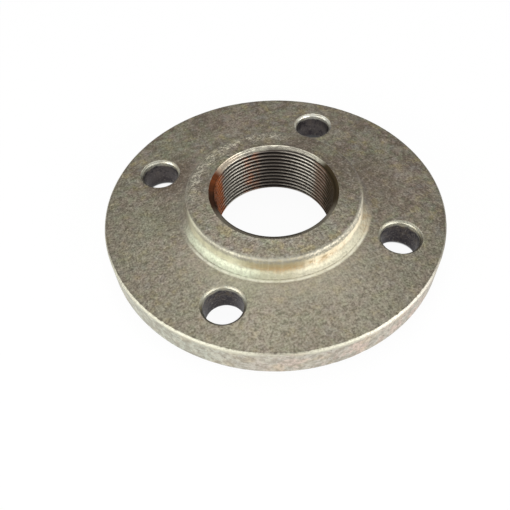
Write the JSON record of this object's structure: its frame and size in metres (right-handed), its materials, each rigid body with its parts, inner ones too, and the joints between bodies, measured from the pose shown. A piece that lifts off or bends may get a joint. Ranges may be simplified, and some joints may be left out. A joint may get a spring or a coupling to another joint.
{
  "type": "threaded flange",
  "caption": "Round forged steel pipe flange with a short hub, a threaded bore, a ring of plain bolt holes and a raised sealing face underneath.",
  "frame": {"origin": "centre of the raised sealing face, on the bore's axis; this face is the underside that the flange rests on", "axes": "+Z along the bore's axis, from the raised face towards the hub; +X and +Y each point midway between two bolt holes, which stand at 45 degrees to them"},
  "size_m": [0.165, 0.165, 0.028],
  "materials": {
    "forged_steel": "fine blasted steel with a thin yellowish passivation, darker inside the bore and the bolt holes"
  },
  "bodies": {
    "root": {"threaded_flange": "forged_steel"}
  },
  "joints": []
}
